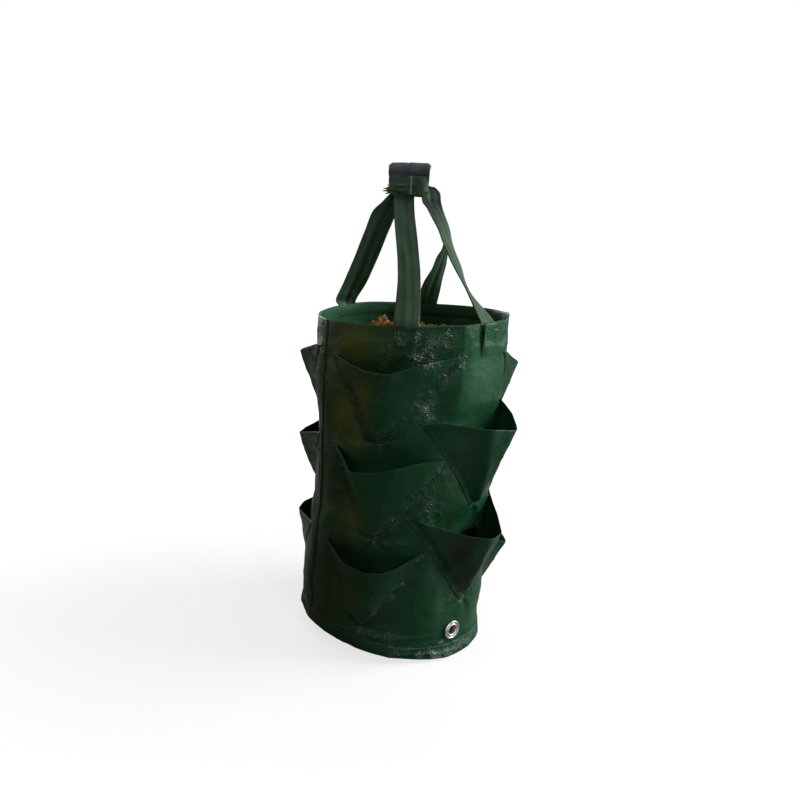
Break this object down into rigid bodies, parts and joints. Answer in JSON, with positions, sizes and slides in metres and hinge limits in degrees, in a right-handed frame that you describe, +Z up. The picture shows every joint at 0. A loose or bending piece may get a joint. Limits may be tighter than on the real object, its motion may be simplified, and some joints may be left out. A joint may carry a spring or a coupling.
{
  "type": "hanging strawberry grow bag",
  "caption": "Cylindrical grow bag of woven sheet with V-shaped side pockets, strap handles gathered into a hanging loop, drain eyelets and growing medium.",
  "frame": {"origin": "centre of the base, on the surface that it stands on", "axes": "+Z up towards the hanging loop, -Y towards the front column of pockets, +X to the right seen from the front"},
  "size_m": [0.2439, 0.2542, 0.501],
  "materials": {
    "woven_sheet": "glossy dark green laminated woven polyethylene sheet",
    "seam_sheet": "the same sheet folded and stitched at seams and hems",
    "strap_webbing": "folded green woven strap, satin",
    "eyelet_metal": "bright rolled metal",
    "growing_medium": "loose orange-brown coir and bark"
  },
  "bodies": {
    "bag": {"bag_wall": "woven_sheet", "base_panel": "woven_sheet", "bottom_binding": "seam_sheet", "rim_hem": "seam_sheet", "side_seam": "seam_sheet", "pocket_front_top": "woven_sheet", "pocket_front_middle": "woven_sheet", "pocket_front_bottom": "woven_sheet", "pocket_right_upper": "woven_sheet", "pocket_right_lower": "woven_sheet", "pocket_rear_right_top": "woven_sheet", "pocket_rear_right_middle": "woven_sheet", "pocket_rear_right_bottom": "woven_sheet", "pocket_back_upper": "woven_sheet", "pocket_back_lower": "woven_sheet", "pocket_left_top": "woven_sheet", "pocket_left_middle": "woven_sheet", "pocket_left_bottom": "woven_sheet", "drain_eyelet_front": "eyelet_metal", "drain_washer_front": "eyelet_metal", "drain_eyelet_back": "eyelet_metal", "drain_washer_back": "eyelet_metal", "growing_medium": "growing_medium", "strap_end_front": "strap_webbing", "strap_end_right": "strap_webbing", "strap_end_back": "strap_webbing", "strap_end_left": "strap_webbing", "strap_front": "strap_webbing", "strap_right": "strap_webbing", "strap_back": "strap_webbing", "strap_left": "strap_webbing"},
    "hanging_loop": {"handle_fold_front": "strap_webbing", "handle_fold_back": "strap_webbing", "tie_band": "strap_webbing", "tie_tail": "strap_webbing"}
  },
  "joints": [
    {"name": "handle_drop", "type": "slide", "parent": "bag", "child": "hanging_loop", "axis": [0, 0, 1], "range_m": [-0.09, 0], "deforming": ["strap_front", "strap_right", "strap_back", "strap_left"]}
  ]
}
